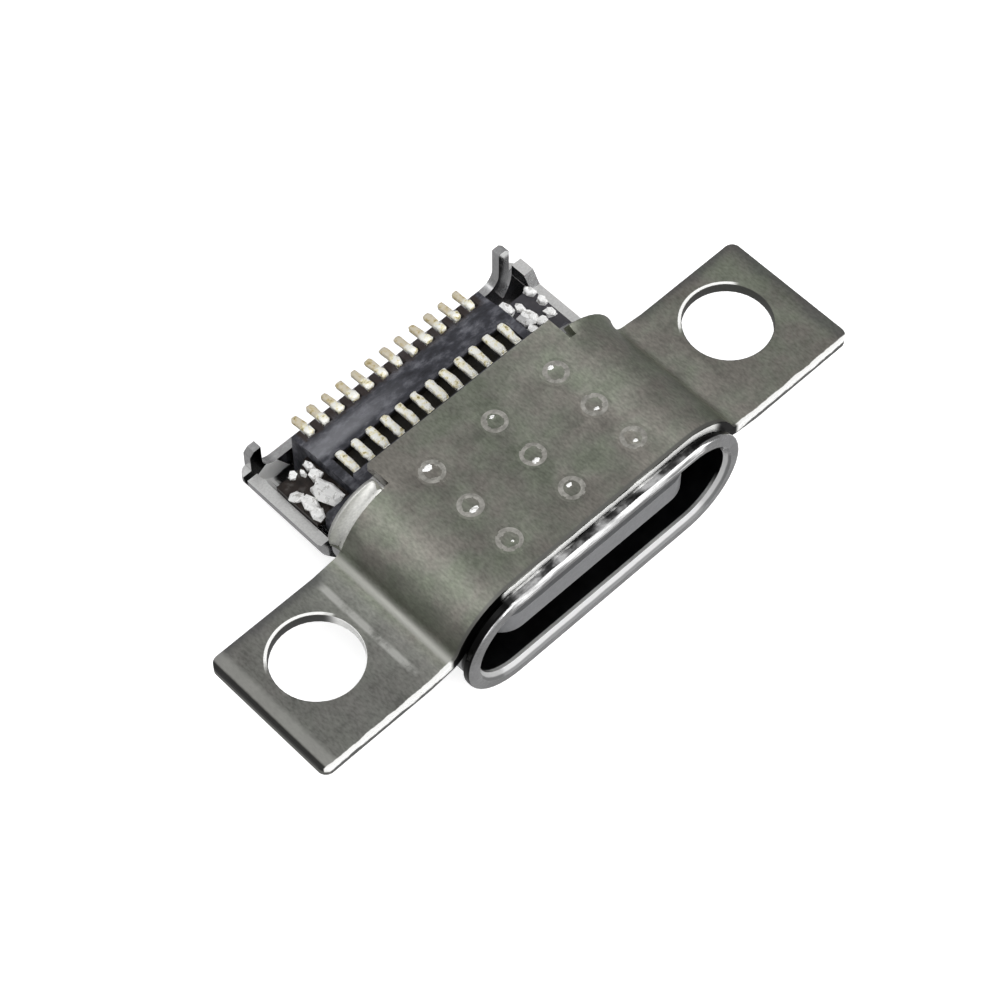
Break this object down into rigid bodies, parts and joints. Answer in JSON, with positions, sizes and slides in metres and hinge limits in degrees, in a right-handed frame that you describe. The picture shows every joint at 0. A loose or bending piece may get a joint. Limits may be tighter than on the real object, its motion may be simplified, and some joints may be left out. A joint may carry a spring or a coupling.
{
  "type": "usb-c socket",
  "caption": "Reversible board socket in a round-ended metal shell, with a bent bracket whose two ears take screws and solder feet at the rear.",
  "frame": {"origin": "centre of the plug opening, in the plane of the shell's front lip", "axes": "+Y from the opening to the rear, +X along the bracket's ears, +Z towards the solder side"},
  "size_m": [0.0178, 0.0083, 0.0037],
  "materials": {
    "bracket_steel": "satin",
    "shell_steel": "satin",
    "housing_plastic": "matte",
    "contact_gold": "polished",
    "plate_steel": "satin",
    "solder": "polished"
  },
  "bodies": {
    "root": {"mounting_bracket": "bracket_steel", "shell": "shell_steel", "housing": "housing_plastic", "midplate": "plate_steel", "upper_ground_plate": "plate_steel", "lower_ground_plate": "plate_steel", "left_solder": "solder", "right_solder": "solder", "upper_contact_01": "contact_gold", "upper_contact_02": "contact_gold", "upper_contact_03": "contact_gold", "upper_contact_04": "contact_gold", "upper_contact_05": "contact_gold", "upper_contact_06": "contact_gold", "upper_contact_07": "contact_gold", "upper_contact_08": "contact_gold", "upper_contact_09": "contact_gold", "upper_contact_10": "contact_gold", "upper_contact_11": "contact_gold", "upper_contact_12": "contact_gold", "lower_contact_01": "contact_gold", "lower_contact_02": "contact_gold", "lower_contact_03": "contact_gold", "lower_contact_04": "contact_gold", "lower_contact_05": "contact_gold", "lower_contact_06": "contact_gold", "lower_contact_07": "contact_gold", "lower_contact_08": "contact_gold", "lower_contact_09": "contact_gold", "lower_contact_10": "contact_gold", "lower_contact_11": "contact_gold", "lower_contact_12": "contact_gold"}
  },
  "joints": []
}
